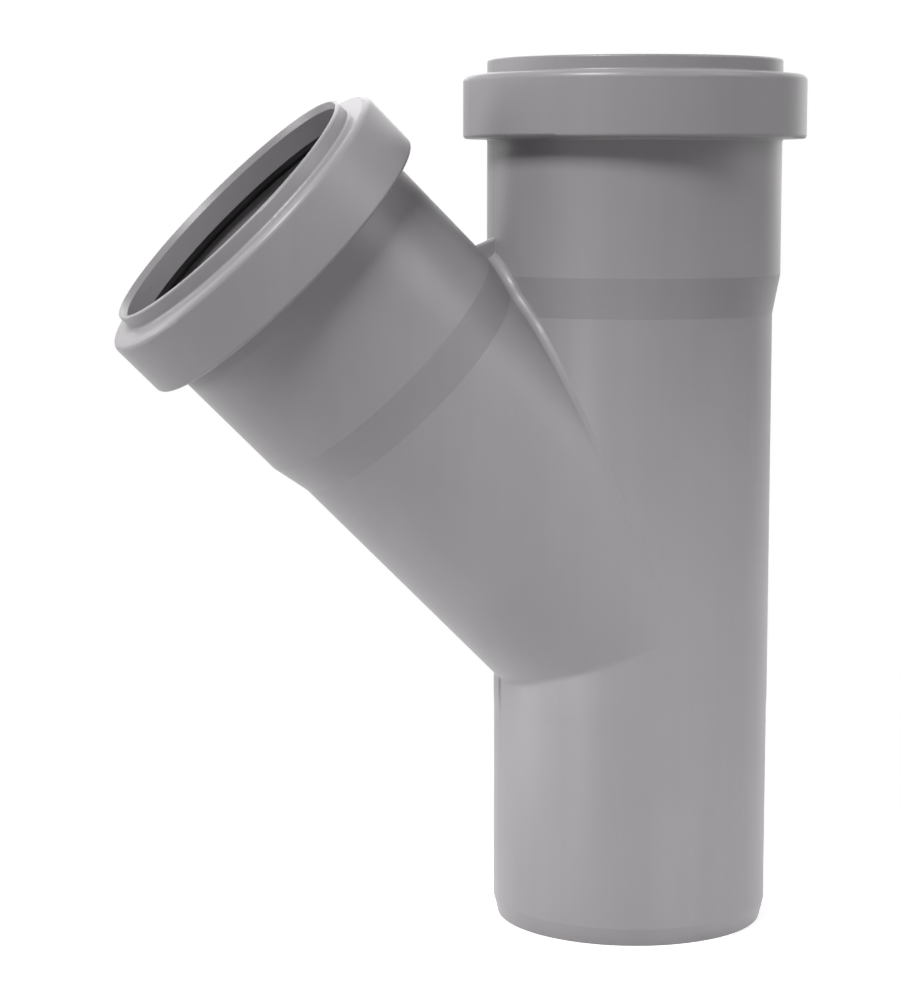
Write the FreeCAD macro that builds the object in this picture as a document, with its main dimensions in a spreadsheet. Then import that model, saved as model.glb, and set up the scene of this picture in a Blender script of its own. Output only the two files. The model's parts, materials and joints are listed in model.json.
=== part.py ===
import FreeCAD, Part
import math
import os
import Sketcher
from FreeCAD import Placement, Rotation, Vector

# Lateral wye fitting for 110 mm drain pipe, in millimetres.
# The run stands on its spigot end, which is the origin, and goes up along +Z.
# The branch leaves the run towards -X in the XZ plane.

# Each size is named here once: its alias, its value and what it measures
driving_sizes = [
    ("pipe_outer_radius", 55.0, "outside of the pipe and the spigot"),
    ("pipe_wall", 2.7, "wall of the run and the branch"),
    ("bevel_length", 7.0, "bevel at the spigot end, along the axis"),
    ("bevel_depth", 1.7, "bevel at the spigot end, across the axis"),
    ("spigot_length", 85.0, "part of the run that goes into a socket"),
    ("body_draft", 0.2, "how much wider than the spigot the body is, in radius"),
    ("draft_length", 6.0, "cone from the spigot to the body"),
    ("crossing_height", 122.0, "spigot end to the crossing of the two axes"),
    ("run_reach", 221.5, "crossing to the run mouth"),
    ("branch_reach", 232.0, "crossing to the branch mouth"),
    ("branch_angle", 45.0, "branch axis from the run axis, in degrees"),
    ("seam_radius", 3.0, "fillet where the branch leaves the run"),
    ("cove_sink", 0.07, "how far that fillet runs out below the walls"),
    ("cove_root", 8.0, "how far that fillet's root goes on below the corner of the walls"),
    ("cove_step", 2.5, "turn round the pipe from one section of that fillet to the next, in degrees"),
    ("cove_end", 80.0, "turn from the middle at which that fillet stops, in degrees"),
    ("web_thickness", 3.2, "web in the crotch"),
    ("web_height", 21.5, "top of the web above the crotch"),
    ("web_fall", 8.4, "drop of the top of the web, from the run to the branch"),
    ("web_round", 1.2, "rounded top edges of the web"),
    ("pipe_clearance", 0.6, "gap between the pipe and the socket's bore"),
    ("socket_wall", 2.6, "wall of the socket barrel"),
    ("barrel_length", 53.0, "straight barrel below the collar"),
    ("taper_length", 15.5, "cone from the barrel down to the pipe"),
    ("rim_height", 6.0, "rim that stands on the collar"),
    ("rim_wall", 2.6, "wall of the rim"),
    ("collar_top_round", 2.6, "rounded top edge of the collar"),
    ("collar_foot_round", 1.4, "rounded lower edge of the collar"),
    ("root_fillet", 1.0, "fillet where the collar meets the barrel"),
    ("cap_plate", 2.8, "top plate of the cap"),
    ("cap_skirt", 2.3, "skirt of the cap"),
    ("cap_clearance", 0.15, "gap between the cap and the body"),
    ("bead_height", 0.6, "snap bead inside the skirt, across the axis"),
    ("bead_width", 1.6, "snap bead inside the skirt, along the axis"),
    ("lead_in_depth", 2.4, "lead-in chamfer of the mouth, along the axis"),
    ("lead_in_width", 1.3, "lead-in chamfer of the mouth, across the axis"),
    ("rim_round", 0.8, "rounded outer edge of the rim"),
    ("inner_step", 1.7, "inner wall of the cap below its plate"),
    ("slot_width", 3.1, "slot that the lip comes out of"),
    ("cup_wall", 2.8, "wall and floor of the cup that holds the seal"),
    ("seal_height", 10.0, "seal ring, along the axis"),
    ("seal_thickness", 3.95, "seal ring, across the axis"),
    ("groove_height", 6.1, "groove between the cup and the flange, for the snap bead"),
    ("flange_thickness", 2.8, "flange that closes the foot of the collar"),
    ("seal_clearance", 0.15, "gap round the seal ring"),
    ("lip_reach", 1.9, "seal lip past the bore"),
    ("lip_slope", 1.2, "slope of the lip that meets the pipe, along the axis"),
    ("lip_round", 0.5, "rounded tip of the seal lip"),
]

# Two points nearer than this are the same
same_point = 0.001

# A ball this near both its walls rests on them, and it gets there in fewer moves than these
touching = 0.0000001
most_moves = 40

doc = FreeCAD.newDocument("wye_fitting")
sheet = doc.addObject("Spreadsheet::Sheet", "sizes")


class Size:
    """A number together with the expression that gives it from the sheet."""

    def __init__(self, number, text):
        self.number = number
        self.text = text

    def join(self, other, sign, number):
        return Size(number, "(%s %s %s)" % (self.text, sign, other.text))

    def __add__(self, other):
        return self.join(other, "+", self.number + other.number)

    def __sub__(self, other):
        return self.join(other, "-", self.number - other.number)

    def __mul__(self, other):
        return self.join(other, "*", self.number * other.number)

    def __truediv__(self, other):
        return self.join(other, "/", self.number / other.number)

    def __neg__(self):
        return Size(-self.number, "(0 - %s)" % self.text)


def fill_sheet():
    named = {}
    for row, (alias, number, meaning) in enumerate(driving_sizes, start=1):
        sheet.set("A%d" % row, meaning)
        sheet.set("B%d" % row, str(number))
        sheet.setAlias("B%d" % row, alias)
        named[alias] = Size(number, "sizes." + alias)
    doc.recompute()
    return named


size = fill_sheet()
nought = Size(0.0, "0")


def bind(feature, path, length):
    feature.setExpression(path, length.text)


def origin_plane(body, role):
    return [item for item in body.Origin.OriginFeatures if item.Role == role][0]


def closed_sketch(body, name, corners):
    """A sketch on the body's XZ plane: each corner is held by its two distances from the origin."""
    sketch = body.newObject("Sketcher::SketchObject", name)
    sketch.AttachmentSupport = [(origin_plane(body, "XZ_Plane"), "")]
    sketch.MapMode = "FlatFace"
    points = [Vector(across.number, along.number, 0) for across, along in corners]
    count = len(points)
    for index in range(count):
        sketch.addGeometry(Part.LineSegment(points[index], points[(index + 1) % count]), False)
    for index in range(count):
        sketch.addConstraint(Sketcher.Constraint("Coincident", index, 2, (index + 1) % count, 1))
    for index, (across, along) in enumerate(corners):
        for kind, distance in (("DistanceX", across), ("DistanceY", along)):
            row = sketch.addConstraint(Sketcher.Constraint(kind, -1, 1, index, 1, distance.number))
            bind(sketch, "Constraints[%d]" % row, distance)
    return sketch


def turned(body, kind, name, corners):
    """Turns a closed outline all the way round the sketch's own upright axis."""
    sketch = closed_sketch(body, name + "_outline", corners)
    feature = body.newObject(kind, name)
    feature.Profile = sketch
    feature.ReferenceAxis = (sketch, ["V_Axis"])
    feature.Angle = 360
    sketch.Visibility = False
    return sketch, feature


def lean(sketch):
    """Tips a sketch over to the branch axis, with its origin at the crossing."""
    leaning = Rotation(Vector(0, 0, 1), size["branch_angle"].number)
    sketch.AttachmentOffset = Placement(Vector(0, size["crossing_height"].number, 0), leaning)
    bind(sketch, "AttachmentOffset.Base.y", size["crossing_height"])
    bind(sketch, "AttachmentOffset.Rotation.Angle", size["branch_angle"])


def dressed(body, kind, name, base, edges, path, length):
    """Rounds the given edges of a feature."""
    feature = body.newObject(kind, name)
    feature.Base = (base, edges)
    bind(feature, path, length)
    base.Visibility = False
    doc.recompute()
    return feature


def ring_edges(feature, place, rings):
    """Names of the circular edges at each radius and height along an axis."""
    found = []
    for number, edge in enumerate(feature.Shape.Edges, start=1):
        if not isinstance(edge.Curve, Part.Circle):
            continue
        centre = place.inverse().multVec(edge.Curve.Center)
        for radius, height in rings:
            near = abs(edge.Curve.Radius - radius.number) < same_point
            level = abs(centre.z - height.number) < same_point
            if near and level and math.hypot(centre.x, centre.y) < same_point:
                found.append("Edge%d" % number)
    return found


# Radii and depths that several pieces share, each depth measured from a mouth
body_radius = size["pipe_outer_radius"] + size["body_draft"]
pipe_bore = size["pipe_outer_radius"] - size["pipe_wall"]
socket_bore = size["pipe_outer_radius"] + size["pipe_clearance"]
socket_outer = socket_bore + size["socket_wall"]
seal_inner = socket_outer + size["seal_clearance"]
seal_outer = seal_inner + size["seal_thickness"]
cup_inner = seal_outer + size["seal_clearance"]
cup_outer = cup_inner + size["cup_wall"]
skirt_inner = cup_outer + size["cap_clearance"]
collar_radius = skirt_inner + size["cap_skirt"]
plate_foot = size["rim_height"] + size["cap_plate"]
cup_top = plate_foot + size["cap_clearance"]
slot_depth = plate_foot + size["inner_step"]
wall_top = slot_depth + size["slot_width"]
seal_top = plate_foot + size["seal_clearance"]
seal_foot = seal_top + size["seal_height"]
cup_floor = seal_foot + size["seal_clearance"]
cup_foot = cup_floor + size["cup_wall"]
flange_top = cup_foot + size["groove_height"]
collar_foot = flange_top + size["flange_thickness"]
barrel_foot = collar_foot + size["barrel_length"]
taper_foot = barrel_foot + size["taper_length"]

# Where the two mouths are, and how far the branch leans
run_mouth = size["crossing_height"] + size["run_reach"]
leaning = math.radians(size["branch_angle"].number)
lean_sine = Size(math.sin(leaning), "sin(sizes.branch_angle)")
lean_cosine = Size(math.cos(leaning), "cos(sizes.branch_angle)")
half_tangent = Size(math.tan(leaning / 2), "tan(sizes.branch_angle / 2)")
crossing = Vector(0, 0, size["crossing_height"].number)
branch_place = Placement(crossing, Rotation(Vector(0, -1, 0), size["branch_angle"].number))


def socket_outside(mouth):
    """From the pipe up to the top of the cup, under the cap."""
    rings = [
        (body_radius, taper_foot),
        (socket_outer, barrel_foot),
        (socket_outer, collar_foot),
        (cup_outer, collar_foot),
        (cup_outer, flange_top),
        (socket_outer, flange_top),
        (socket_outer, cup_foot),
        (cup_outer, cup_foot),
        (cup_outer, cup_top),
        (nought, cup_top),
    ]
    return [(radius, mouth - depth) for radius, depth in rings]


def socket_inside(mouth):
    """From the top of the cup down through the barrel to the pipe bore."""
    rings = [
        (nought, cup_top),
        (cup_inner, cup_top),
        (cup_inner, cup_floor),
        (socket_outer, cup_floor),
        (socket_outer, wall_top),
        (socket_bore, wall_top),
        (socket_bore, barrel_foot),
        (pipe_bore, taper_foot),
    ]
    return [(radius, mouth - depth) for radius, depth in rings]


def add_web(body):
    """A thin upright web in the crotch; both its ends are buried in the pipes' walls."""
    crotch_level = size["crossing_height"] + body_radius / half_tangent
    web_top = crotch_level + size["web_height"]
    web_end = web_top - size["web_fall"]
    reach = (pipe_bore - (web_end - size["crossing_height"]) * lean_sine) / lean_cosine
    corners = [(-pipe_bore, web_top), (reach, web_end), (-body_radius, crotch_level)]
    sketch = closed_sketch(body, "web_outline", corners)
    web = body.newObject("PartDesign::Pad", "web")
    web.Profile = sketch
    web.SideType = "Symmetric"
    bind(web, "Length", size["web_thickness"])
    sketch.Visibility = False
    doc.recompute()
    side = size["web_thickness"].number / 2
    top_start, top_end = [Vector(across.number, 0, along.number) for across, along in corners[:2]]
    top_way = (top_end - top_start).normalize()
    top_edges = []
    for number, edge in enumerate(web.Shape.Edges, start=1):
        ends = [vertex.Point for vertex in edge.Vertexes]
        on_side = all(abs(abs(end.y) - side) < same_point for end in ends)
        flat_ends = [Vector(end.x, 0, end.z) for end in ends]
        on_top = all((end - top_start).cross(top_way).Length < same_point for end in flat_ends)
        if isinstance(edge.Curve, Part.Line) and on_side and on_top:
            top_edges.append("Edge%d" % number)
    return dressed(body, "PartDesign::Fillet", "web_rounds", web, top_edges, "Radius", size["web_round"])


def make_outside():
    """The run and the branch as solid turned forms, with the web between them."""
    body = doc.addObject("PartDesign::Body", "outside")
    spigot = [
        (nought, nought),
        (size["pipe_outer_radius"] - size["bevel_depth"], nought),
        (size["pipe_outer_radius"], size["bevel_length"]),
        (size["pipe_outer_radius"], size["spigot_length"]),
        (body_radius, size["spigot_length"] + size["draft_length"]),
    ]
    turned(body, "PartDesign::Revolution", "run", spigot + socket_outside(run_mouth))
    stub = [(nought, nought), (body_radius, nought)]
    sketch, branch = turned(
        body, "PartDesign::Revolution", "branch", stub + socket_outside(size["branch_reach"]))
    lean(sketch)
    doc.recompute()
    webbed = add_web(body)
    roots = ring_edges(webbed, Placement(), [(socket_outer, run_mouth - collar_foot)])
    roots += ring_edges(webbed, branch_place, [(socket_outer, size["branch_reach"] - collar_foot)])
    dressed(body, "PartDesign::Fillet", "flange_roots", webbed, roots, "Radius", size["root_fillet"])
    return body


def make_hollow():
    """Everything that is open inside: the bores, the sockets and the seal cups."""
    body = doc.addObject("PartDesign::Body", "hollow")
    start = [(pipe_bore, nought), (nought, nought)]
    turned(body, "PartDesign::Revolution", "run_hollow", socket_inside(run_mouth) + start)
    sketch, branch_hollow = turned(
        body, "PartDesign::Revolution", "branch_hollow", socket_inside(size["branch_reach"]) + start)
    lean(sketch)
    doc.recompute()
    return body


def wall_line(mouth, depth):
    """The outline of a tube and its socket, sunk by a depth, as points across and along the axis."""
    rings = [(body_radius, nought - mouth)]
    rings += [(radius, mouth - level) for radius, level in (
        (body_radius, taper_foot),
        (socket_outer, barrel_foot),
        (socket_outer, collar_foot),
    )]
    return [Vector(radius.number - depth, along.number, 0) for radius, along in rings]


def foot_on(wall, point):
    """The point of a turned wall that is nearest to a point outside it."""
    line, place = wall
    local = place.inverse().multVec(point)
    across = math.hypot(local.x, local.y)
    flat = Vector(across, local.z, 0)
    spots = []
    for start, end in zip(line, line[1:]):
        way = end - start
        share = min(1.0, max(0.0, (flat - start).dot(way) / way.dot(way)))
        spots.append(start + way * share)
    spot = min(spots, key=lambda candidate: (flat - candidate).Length)
    return place.multVec(Vector(local.x * spot.x / across, local.y * spot.x / across, spot.y))


def rest_ball(walls, radius, start):
    """Moves a ball, without changing its Y, until it touches both walls."""
    centre = Vector(start)
    for _ in range(most_moves):
        ways = [centre - foot_on(wall, centre) for wall in walls]
        gaps = [way.Length - radius for way in ways]
        if max(abs(gap) for gap in gaps) < touching:
            break
        one, two = [way.normalize() for way in ways]
        spread = one.x * two.z - one.z * two.x
        centre.x += (gaps[1] * one.z - gaps[0] * two.z) / spread
        centre.z += (gaps[0] * two.x - gaps[1] * one.x) / spread
    return centre


def make_cove(name, toward, slope):
    """
    The fillet on one half of the seam between run and branch, as a loft through the
    places of a ball that rolls along it. The walls are sunk a little, so that the fillet
    runs out below them.
    """
    sink = size["cove_sink"].number
    radius = size["seam_radius"].number
    walls = [
        (wall_line(run_mouth, sink), Placement()),
        (wall_line(size["branch_reach"], sink), branch_place),
    ]
    wires = []
    half_turns = round(size["cove_end"].number / size["cove_step"].number)
    for turn in range(-half_turns, half_turns + 1):
        angle = math.radians(turn * size["cove_step"].number)
        aside = (body_radius.number - sink + radius) * math.sin(angle)
        clear = (socket_outer.number + radius) * math.cos(angle) / slope
        centre = rest_ball(walls, radius, crossing + toward * clear + Vector(0, aside, 0))
        feet = [foot_on(wall, centre) for wall in walls]
        inward = ((feet[0] + feet[1]) * 0.5 - centre).normalize()
        corner = radius ** 2 / inward.dot(feet[0] - centre)
        buried = centre + inward * (corner + size["cove_root"].number)
        arc = Part.Arc(feet[0], centre + inward * radius, feet[1]).toShape()
        sides = [Part.makeLine(feet[1], buried), Part.makeLine(buried, feet[0])]
        wires.append(Part.Wire([arc] + sides))
    cove = doc.addObject("Part::Feature", name)
    cove.Shape = Part.makeLoft(wires, True, False)
    return cove


def make_fitting_body():
    outside = make_outside()
    half = leaning / 2
    crotch_side = Vector(-math.sin(half), 0, math.cos(half))
    heel_side = Vector(-math.cos(half), 0, -math.sin(half))
    whole = doc.addObject("Part::MultiFuse", "whole")
    whole.Shapes = [
        outside,
        make_cove("crotch_cove", crotch_side, math.sin(half)),
        make_cove("heel_cove", heel_side, math.cos(half)),
    ]
    fitting = doc.addObject("Part::Cut", "fitting_body")
    fitting.Base = whole
    fitting.Tool = make_hollow()
    fitting.Label = "fitting_body"
    doc.recompute()
    return fitting


def seat_on_run(body):
    bind(body, "Placement.Base.z", run_mouth)


def seat_on_branch(body):
    body.Placement = Placement(Vector(0, 0, 0), Rotation(Vector(0, -1, 0), size["branch_angle"].number))
    bind(body, "Placement.Base.x", -(lean_sine * size["branch_reach"]))
    bind(body, "Placement.Base.z", size["crossing_height"] + lean_cosine * size["branch_reach"])
    bind(body, "Placement.Rotation.Angle", size["branch_angle"])


def make_cap(name, seat):
    """The snapped-on cap: rim, shoulder and square collar, drawn down from its mouth."""
    body = doc.addObject("PartDesign::Body", name)
    rim_outer = socket_bore + size["rim_wall"]
    bead_top = cup_foot + size["cap_clearance"]
    rings = [
        (socket_bore + size["lead_in_width"], nought),
        (rim_outer, nought),
        (rim_outer, size["rim_height"]),
        (collar_radius, size["rim_height"]),
        (collar_radius, collar_foot),
        (skirt_inner, collar_foot),
        (skirt_inner, bead_top + size["bead_width"]),
        (skirt_inner - size["bead_height"], bead_top),
        (skirt_inner, bead_top),
        (skirt_inner, plate_foot),
        (socket_outer, plate_foot),
        (socket_outer, slot_depth),
        (socket_bore, slot_depth),
        (socket_bore, size["lead_in_depth"]),
    ]
    corners = [(radius, nought - depth) for radius, depth in rings]
    shell = turned(body, "PartDesign::Revolution", name + "_shell", corners)[1]
    doc.recompute()
    rounds = (
        ("shoulder", size["collar_top_round"], collar_radius, size["rim_height"]),
        ("foot", size["collar_foot_round"], collar_radius, collar_foot),
        ("mouth", size["rim_round"], rim_outer, nought),
        ("rim_root", size["root_fillet"], rim_outer, size["rim_height"]),
    )
    last = shell
    for part, rounding, radius, depth in rounds:
        edges = ring_edges(last, Placement(), [(radius, nought - depth)])
        last = dressed(body, "PartDesign::Fillet", name + "_" + part, last, edges, "Radius", rounding)
    seat(body)
    return body


def make_seal(name, seat):
    """The rubber ring in the cup, with one lip that reaches through the slot into the bore."""
    body = doc.addObject("PartDesign::Body", name)
    lip_tip = socket_bore - size["lip_reach"]
    lip_top = slot_depth + size["seal_clearance"]
    lip_foot = wall_top - size["seal_clearance"]
    rings = [
        (seal_outer, seal_top),
        (seal_outer, seal_foot),
        (seal_inner, seal_foot),
        (seal_inner, lip_foot),
        (lip_tip, lip_foot),
        (lip_tip, lip_top + size["lip_slope"]),
        (socket_bore, lip_top),
        (seal_inner, lip_top),
        (seal_inner, seal_top),
    ]
    corners = [(radius, nought - depth) for radius, depth in rings]
    ring = turned(body, "PartDesign::Revolution", name + "_ring", corners)[1]
    doc.recompute()
    tips = [(lip_tip, nought - lip_foot), (lip_tip, nought - lip_top - size["lip_slope"])]
    edges = ring_edges(ring, Placement(), tips)
    dressed(body, "PartDesign::Fillet", name + "_tip", ring, edges, "Radius", size["lip_round"])
    seat(body)
    return body


def check_document():
    for item in doc.Objects:
        if "Invalid" in item.State or "Error" in item.State:
            raise RuntimeError("%s failed: %s" % (item.Name, item.State))


def write_parts(pieces):
    os.makedirs("parts", exist_ok=True)
    for piece in pieces:
        shape = piece.Shape
        if shape.isNull() or not shape.isValid() or len(shape.Solids) != 1:
            raise RuntimeError("%s has no single valid solid" % piece.Label)
    for piece in pieces:
        piece.Shape.exportStep("parts/%s.step" % piece.Label)
        print("%s %.0f mm3" % (piece.Label, piece.Shape.Volume))


pieces = [
    make_fitting_body(),
    make_cap("run_cap", seat_on_run),
    make_cap("branch_cap", seat_on_branch),
    make_seal("run_seal", seat_on_run),
    make_seal("branch_seal", seat_on_branch),
]
doc.recompute()
check_document()
write_parts(pieces)
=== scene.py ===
import json
import math

import bpy
from mathutils import Euler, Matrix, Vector


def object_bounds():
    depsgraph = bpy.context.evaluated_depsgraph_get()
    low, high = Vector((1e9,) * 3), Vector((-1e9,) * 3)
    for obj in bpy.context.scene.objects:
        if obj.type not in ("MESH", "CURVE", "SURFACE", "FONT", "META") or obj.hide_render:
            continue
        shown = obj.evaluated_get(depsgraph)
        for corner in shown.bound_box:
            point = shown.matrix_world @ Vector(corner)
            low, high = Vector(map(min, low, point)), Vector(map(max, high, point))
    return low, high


# Lateral wye fitting for 110 mm drain pipe, standing on its spigot in a plain pale studio.
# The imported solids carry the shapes; this file gives them plastic and rubber,
# and makes the camera, the lights and the floor.

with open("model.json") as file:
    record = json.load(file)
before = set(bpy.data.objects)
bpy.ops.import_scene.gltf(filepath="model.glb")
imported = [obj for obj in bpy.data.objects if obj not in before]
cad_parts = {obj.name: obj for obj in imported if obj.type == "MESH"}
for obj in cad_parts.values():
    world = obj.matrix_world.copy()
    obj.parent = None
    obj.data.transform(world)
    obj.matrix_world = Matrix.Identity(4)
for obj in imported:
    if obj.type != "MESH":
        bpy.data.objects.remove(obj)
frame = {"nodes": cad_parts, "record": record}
bpy.ops.object.select_all(action="DESELECT")
nodes = frame["nodes"]
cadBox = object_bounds()
print("frame loaded with", len(nodes), "pieces")

# The branch's axis and where it crosses the run, both from the record's mounts
mounts = {mount["name"]: mount for mount in frame["record"]["mounts"]}
branchAxis = Vector(mounts["branch_socket"]["axis"]).normalized()
branchPoint = Vector(mounts["branch_socket"]["pos_m"])
crossing = branchPoint - branchAxis * (branchPoint.x / branchAxis.x)


# Camera, turned and dipped as in the photograph; away and sideways are measured on the ground
# from the run's axis
cameraSettings = {
    "away": 1.0614,
    "sideways": 0.0729,
    "height": 0.3002,
    "turnDegrees": 15.98,
    "dipDegrees": 7.06,
    "lens": 95.7,
    "clipEnd": 50,
}


def makeCamera(settings):
    turn = math.radians(settings["turnDegrees"])
    forward = Vector((math.sin(turn), math.cos(turn), 0))
    right = Vector((math.cos(turn), -math.sin(turn), 0))
    place = -forward * settings["away"] - right * settings["sideways"]
    place.z = settings["height"]
    camera = bpy.data.objects.new("photoCamera", bpy.data.cameras.new("photoCamera"))
    camera.location = place
    camera.rotation_euler = Euler((math.radians(90 - settings["dipDegrees"]), 0, -turn))
    camera.data.lens = settings["lens"]
    camera.data.clip_end = settings["clipEnd"]
    bpy.context.scene.collection.objects.link(camera)
    bpy.context.scene.camera = camera


makeCamera(cameraSettings)
print("camera set")


# One output of a material's nodes, with shader maths written as plain expressions
class Paint:
    def __init__(self, tree, socket=None):
        self.tree = tree
        self.socket = socket

    # Any node: its settings first, then the values or links of its sockets
    def node(self, kind, settings=None, inputs=None, output=0):
        made = self.tree.nodes.new(kind)
        for name, value in (settings or {}).items():
            setattr(made, name, value)
        for name, value in (inputs or {}).items():
            if isinstance(value, Paint):
                self.tree.links.new(value.socket, made.inputs[name])
            else:
                made.inputs[name].default_value = value
        return Paint(self.tree, made.outputs[output])

    def maths(self, operation, *values):
        inputs = dict(enumerate((self,) + values))
        return self.node("ShaderNodeMath", {"operation": operation}, inputs)

    def __add__(self, other):
        return self.maths("ADD", other)

    def __radd__(self, other):
        return self.maths("ADD", other)

    def __sub__(self, other):
        return self.maths("SUBTRACT", other)

    def __rsub__(self, other):
        return self.maths("MULTIPLY", -1.0) + other

    def __mul__(self, other):
        return self.maths("MULTIPLY", other)

    def __rmul__(self, other):
        return self.maths("MULTIPLY", other)

    # 0 below low and 1 above high, smooth in between
    def ramp(self, low, high):
        return self.node("ShaderNodeMapRange", {"interpolation_type": "SMOOTHSTEP"},
                         {"Value": self, "From Min": low, "From Max": high})

    # 1 at a level, falling off softly to 0 at width from it on both sides
    def band(self, level, width):
        return 1.0 - (self - level).maths("ABSOLUTE").ramp(0.0, width)

    # Two colours, mixed by this value
    def mix(self, first, second):
        inputs = {"Factor": self, 6: first, 7: second}
        return self.node("ShaderNodeMix", {"data_type": "RGBA"}, inputs, 2)

    # The same for two vectors
    def blend(self, first, second):
        inputs = {"Factor": self, 4: first, 5: second}
        return self.node("ShaderNodeMix", {"data_type": "VECTOR"}, inputs, 1)


# A fresh material with no nodes, and the output that ends it
def startMaterial(name):
    material = bpy.data.materials.new(name)
    material.use_nodes = True
    material.node_tree.nodes.clear()
    return material, Paint(material.node_tree)


def closeMaterial(paint, surface):
    output = paint.tree.nodes.new("ShaderNodeOutputMaterial")
    paint.tree.links.new(surface.socket, output.inputs["Surface"])


# The place of a point in its object, and that place's X, Y and Z
def objectPlace(paint):
    return paint.node("ShaderNodeTexCoord", output=3)


def apart(paint, place):
    return [paint.node("ShaderNodeSeparateXYZ", None, {0: place}, part) for part in range(3)]


# Noise, drawn out along an axis where its stretch is under 1
def stretchedNoise(paint, place, pattern, turn=(0, 0, 0)):
    mapped = paint.node("ShaderNodeMapping", None, {
        "Vector": place,
        "Rotation": turn,
        "Scale": pattern["stretch"],
    })
    return paint.node("ShaderNodeTexNoise", None, {
        "Vector": mapped,
        "Scale": pattern["scale"],
        "Detail": pattern["detail"],
        "Roughness": pattern["roughness"],
    })


# Grey moulded plastic: a satin skin with a faint cloud in its colour, flow streaks along
# the pipes, very fine grain, a few handling scuffs, the mould's parting line as a thin ridge
# with painted shade along it, and a painted shadow of the branch on that line just under it
plasticSettings = {
    "colour": (0.262, 0.254, 0.262, 1),
    "paleColour": (0.312, 0.303, 0.312, 1),
    # Dark colour of the painted shade along the parting line and under the branch
    "paintedLineShadeColour": (0.1, 0.097, 0.1, 1),
    "roughness": 0.3,
    "refraction": 1.49,

    "cloud": {"stretch": (1, 1, 1), "scale": 9.0, "detail": 3, "roughness": 0.5},
    "streaks": {"stretch": (1, 1, 0.05), "scale": 55.0, "detail": 4, "roughness": 0.7},
    "waviness": {"stretch": (1, 1, 0.5), "scale": 60.0, "detail": 2, "roughness": 0.4},
    "grain": {"stretch": (1, 1, 1), "scale": 2600.0, "detail": 2, "roughness": 0.5},
    "scuffs": {"stretch": (1, 1, 0.12), "scale": 140.0, "detail": 6, "roughness": 0.75},
    "scuffTurn": (0.3, 0.5, 0.4),

    # Where a noise counts: nothing below the first level, all above the second
    "patternLevels": (0.3, 0.7),
    "scuffLevels": (0.66, 0.74),
    "scuffedCloudLevels": (0.45, 0.62),

    # How far each pattern makes the colour paler, and the skin duller
    "cloudTone": 0.45,
    "streakTone": 0.26,
    "scuffTone": 0.4,
    "cloudDulling": 0.1,
    "streakDulling": 0.06,
    "scuffDulling": 0.14,

    # The relief that the bump shows
    "bumpStrength": 0.25,
    "bumpDistance": 0.0004,
    "wavinessRelief": 0.9,
    "grainRelief": 0.02,
    "partingRelief": 0.12,

    # How wide the parting line is and how dark its painted shade; how wide the painted shadow under
    # the branch is and where it lies
    "partingWidth": 0.0004,
    "partingShade": 0.45,
    "branchShadowPaintWidth": 0.0028,
    "branchShadowPaintAside": (0.045, 0.05),
    "branchShadowPaintFoot": (0.080, 0.097),
    "branchShadowPaintTop": (0.0985, 0.1),

    # Rounding in the shading: of any edge, and of the seam's lower end under the crossing
    "edgeRadius": 0.0004,
    "edgeSamples": 4,
    "seamRadius": 0.004,
    "seamSamples": 8,
    "seamReach": 0.009,
    "seamTop": (-0.012, -0.002),
    "seamBlend": 0.5,
    "branchSideBlend": 0.001,
}


# How far a point lies on the branch's side of the seam, less than 0 on the run's side:
# two equal pipes meet in the planes that halve their angles
def pastSeam(across, height):
    half = branchAxis.angle(Vector((0, 0, 1))) / 2 + math.pi / 4
    up = height - crossing.z
    outward = across * -math.sin(half) + up * math.cos(half)
    aside = (across * math.cos(half) + up * math.sin(half)).maths("ABSOLUTE")
    return outward - aside


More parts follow.
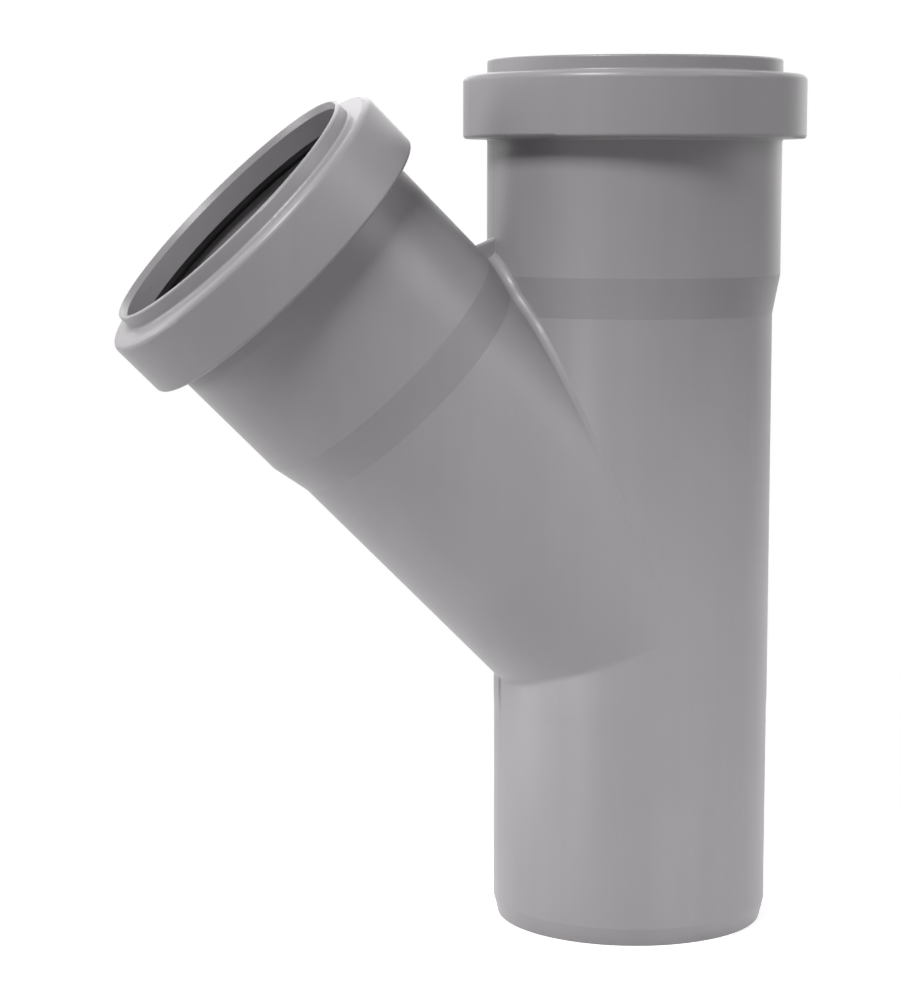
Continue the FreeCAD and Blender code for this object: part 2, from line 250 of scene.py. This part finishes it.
def makePlastic(name, settings):
    material, paint = startMaterial(name)
    place = objectPlace(paint)
    across, depth, height = apart(paint, place)
    seam = pastSeam(across, height)
    branch = seam.ramp(-settings["branchSideBlend"], settings["branchSideBlend"])
    lean = math.atan2(-branchAxis.x, branchAxis.z)

    # The same noise drawn out along the run and along the branch
    def alongPipes(pattern):
        upright = stretchedNoise(paint, place, pattern)
        leaning = stretchedNoise(paint, place, pattern, (0, lean, 0))
        return upright + branch * (leaning - upright)

    cloud = stretchedNoise(paint, place, settings["cloud"])
    streaks = alongPipes(settings["streaks"])
    grain = stretchedNoise(paint, place, settings["grain"])
    waviness = alongPipes(settings["waviness"])
    scuffs = stretchedNoise(paint, place, settings["scuffs"], settings["scuffTurn"])
    scuffMask = (scuffs.ramp(*settings["scuffLevels"])
                 * cloud.ramp(*settings["scuffedCloudLevels"]))
    tone = (cloud.ramp(*settings["patternLevels"]) * settings["cloudTone"]
            + streaks.ramp(*settings["patternLevels"]) * settings["streakTone"]
            + scuffMask * settings["scuffTone"])
    roughness = (cloud * settings["cloudDulling"] + streaks * settings["streakDulling"]
                 + scuffMask * settings["scuffDulling"] + settings["roughness"])

    parting = depth.band(0.0, settings["partingWidth"])
    # Painted shadow of the branch: a dark mark on the parting line on the branch's side, just below
    # the branch
    branchShadowPaint = (depth.band(0.0, settings["branchShadowPaintWidth"])
               * (across * -1.0).ramp(*settings["branchShadowPaintAside"])
               * height.ramp(*settings["branchShadowPaintFoot"])
               * (1.0 - height.ramp(*settings["branchShadowPaintTop"])))
    # Painted shade: the parting line and the mark under the branch darken the colour
    paintedLineShade = (parting * settings["partingShade"]).maths("MAXIMUM", branchShadowPaint)
    grey = tone.mix(settings["colour"], settings["paleColour"])

    seamFoot, seamHead = [crossing.z + level for level in settings["seamTop"]]
    underSeam = seam.band(0.0, settings["seamReach"]) * (1.0 - height.ramp(seamFoot, seamHead))
    anyEdge = paint.node("ShaderNodeBevel", {"samples": settings["edgeSamples"]},
                         {"Radius": settings["edgeRadius"]})
    seamEdge = paint.node("ShaderNodeBevel", {"samples": settings["seamSamples"]},
                          {"Radius": settings["seamRadius"]})
    bump = paint.node("ShaderNodeBump", None, {
        "Strength": settings["bumpStrength"],
        "Distance": settings["bumpDistance"],
        "Height": (waviness * settings["wavinessRelief"] + grain * settings["grainRelief"]
                   + parting * settings["partingRelief"]),
        "Normal": underSeam.ramp(0.0, settings["seamBlend"]).blend(anyEdge, seamEdge),
    })
    surface = paint.node("ShaderNodeBsdfPrincipled", None, {
        "Base Color": paintedLineShade.mix(grey, settings["paintedLineShadeColour"]),
        "Roughness": roughness,
        "IOR": settings["refraction"],
        "Normal": bump,
    })
    closeMaterial(paint, surface)
    return material


# Black rubber of the seal rings, a little dull, with a faint bloom
rubberSettings = {
    "colour": (0.006, 0.0055, 0.006, 1),
    "bloomColour": (0.014, 0.013, 0.014, 1),
    "roughness": 0.55,
    "shine": 0.05,
    "bloom": {"stretch": (1, 1, 1), "scale": 40.0, "detail": 4, "roughness": 0.6},
    "bloomLevels": (0.4, 0.75),
    "bloomDulling": 0.12,
    "grain": {"stretch": (1, 1, 1), "scale": 1800.0, "detail": 2, "roughness": 0.5},
    "bumpStrength": 0.3,
    "bumpDistance": 0.0002,
}


def makeRubber(name, settings):
    material, paint = startMaterial(name)
    place = objectPlace(paint)
    bloom = stretchedNoise(paint, place, settings["bloom"])
    bloomMask = bloom.ramp(*settings["bloomLevels"])
    bump = paint.node("ShaderNodeBump", None, {
        "Strength": settings["bumpStrength"],
        "Distance": settings["bumpDistance"],
        "Height": stretchedNoise(paint, place, settings["grain"]),
    })
    surface = paint.node("ShaderNodeBsdfPrincipled", None, {
        "Base Color": bloomMask.mix(settings["colour"], settings["bloomColour"]),
        "Roughness": bloom * settings["bloomDulling"] + settings["roughness"],
        "Specular IOR Level": settings["shine"],
        "Normal": bump,
    })
    closeMaterial(paint, surface)
    return material


plastic = makePlastic("greyPlastic", plasticSettings)
rubber = makeRubber("sealRubber", rubberSettings)
materialOfNode = {
    "fitting_body": plastic,
    "run_cap": plastic,
    "branch_cap": plastic,
    "run_seal": rubber,
    "branch_seal": rubber,
}
for nodeName, material in materialOfNode.items():
    for materialSlot in nodes[nodeName].material_slots:
        materialSlot.material = material
print("plastic and rubber given to the solids")


# Floor and world: white to the camera and in reflections, a plain level for the light.
# The lamps' faint purple is the photograph's
studioSettings = {
    "white": (1, 1, 1, 1),
    "floorSize": 12.0,
    "floorGap": 0.0002,
    "floorColour": (0.55, 0.55, 0.55, 1),
    "seenColour": (2.6, 2.6, 2.6, 1),
    "footWhite": 0.78,
    "shadowReach": (0.08, 0.4),
    "worldStrength": 0.04,
    "lampColour": (1, 0.982, 1),
}


# 1 for what the camera sees directly, in a reflection or through glass
def seenRays(paint):
    camera, glossy, transmission = [
        paint.node("ShaderNodeLightPath", output=index) for index in (0, 3, 6)]
    return camera.maths("MAXIMUM", glossy).maths("MAXIMUM", transmission)


# Lit and unshaded the floor shows as white: far off by its own glow, and near the foot partly by
# the lamps' light on it, so the shadow there stays
def makeFloor(settings):
    bpy.ops.mesh.primitive_plane_add(
        size=settings["floorSize"], location=(0, 0, cadBox[0].z - settings["floorGap"]))
    floor = bpy.context.object
    floor.name = "floor"
    material, paint = startMaterial("paleFloor")
    across, depth = apart(paint, objectPlace(paint))[:2]
    fromFoot = (across * across + depth * depth).maths("SQRT")
    farWhite = fromFoot.ramp(*settings["shadowReach"])
    glow = farWhite * (1.0 - settings["footWhite"]) + settings["footWhite"]
    seen = seenRays(paint)
    lit = paint.node("ShaderNodeBsdfDiffuse", None, {
        "Color": seen.mix(settings["floorColour"], settings["seenColour"])})
    white = paint.node("ShaderNodeEmission", None, {"Color": settings["white"], "Strength": 1.0})
    shown = paint.node("ShaderNodeMixShader", None, {0: seen * glow, 1: lit, 2: white})
    closeMaterial(paint, shown)
    floor.data.materials.append(material)
    bpy.ops.object.select_all(action="DESELECT")


def makeWorld(settings):
    world = bpy.data.worlds.new("studio")
    world.use_nodes = True
    world.node_tree.nodes.clear()
    paint = Paint(world.node_tree)
    plain, white = [
        paint.node("ShaderNodeBackground", None, {"Color": settings["white"], "Strength": strength})
        for strength in (settings["worldStrength"], 1.0)]
    surface = paint.node("ShaderNodeMixShader", None, {0: seenRays(paint), 1: plain, 2: white})
    output = world.node_tree.nodes.new("ShaderNodeOutputWorld")
    world.node_tree.links.new(surface.socket, output.inputs["Surface"])
    bpy.context.scene.world = world


# Soft lamps: the main one high at the left, as the shadows under the collars show, two weaker
# ones at the right, three behind, and five small ones low down that stand for the light the
# table throws back. Two of the low ones are hidden from reflections, where they would draw
# a bright streak up the run
lampSettings = {
    "key": {
        "place": (-0.75, -0.57, 1.2), "aim": (-0.07, 0, 0.17),
        "size": 0.4, "power": 16.5, "spread": 180, "mirrored": True},
    "highRight": {
        "place": (0.9, -0.7, 1.2), "aim": (-0.07, 0, 0.17),
        "size": 0.7, "power": 4.4, "spread": 180, "mirrored": True},
    "right": {
        "place": (1.5, -0.5, 0.5), "aim": (-0.07, 0, 0.17),
        "size": 0.9, "power": 2.4, "spread": 180, "mirrored": True},
    "backLeft": {
        "place": (-1.0, 0.9, 0.6), "aim": (-0.07, 0, 0.17),
        "size": 0.8, "power": 2.2, "spread": 180, "mirrored": True},
    "backRight": {
        "place": (1.0, 0.9, 0.6), "aim": (-0.07, 0, 0.17),
        "size": 0.8, "power": 2.2, "spread": 180, "mirrored": True},
    "back": {
        "place": (0.1, 1.2, 0.8), "aim": (-0.07, 0, 0.17),
        "size": 0.8, "power": 4.0, "spread": 180, "mirrored": True},
    "tableGlow": {
        "place": (-0.25, -0.2, 0.003), "aim": (-0.25, -0.2, 1),
        "size": 0.6, "power": 0.13, "spread": 180, "mirrored": True},
    "lowLeft": {
        "place": (-1.0, -0.6, 0.05), "aim": (0, 0, 0.03),
        "size": 0.35, "power": 0.09, "spread": 12, "mirrored": True},
    "lowRight": {
        "place": (1.0, -0.6, 0.05), "aim": (0, 0, 0.02),
        "size": 0.35, "power": 0.19, "spread": 12, "mirrored": False},
    "lowFront": {
        "place": (-0.25, -1.15, 0.05), "aim": (0, 0, 0.01),
        "size": 0.35, "power": 0.03, "spread": 12, "mirrored": False},
    "lowEdge": {
        "place": (-0.9, 0.3, 0.06), "aim": (-0.07, 0, 0.1),
        "size": 0.4, "power": 0.3, "spread": 40, "mirrored": True},
}


def makeLamps(lamps, colour):
    for name, lamp in lamps.items():
        light = bpy.data.lights.new(name, "AREA")
        light.energy = lamp["power"]
        light.color = colour
        light.size = lamp["size"]
        light.spread = math.radians(lamp["spread"])
        holder = bpy.data.objects.new(name, light)
        holder.location = lamp["place"]
        facing = Vector(lamp["aim"]) - holder.location
        holder.rotation_euler = facing.to_track_quat("-Z", "Y").to_euler()
        holder.visible_camera = False
        holder.visible_glossy = lamp["mirrored"]
        bpy.context.scene.collection.objects.link(holder)


makeFloor(studioSettings)
makeWorld(studioSettings)
makeLamps(lampSettings, studioSettings["lampColour"])
bpy.context.scene.view_settings.view_transform = "Standard"
print("studio ready")
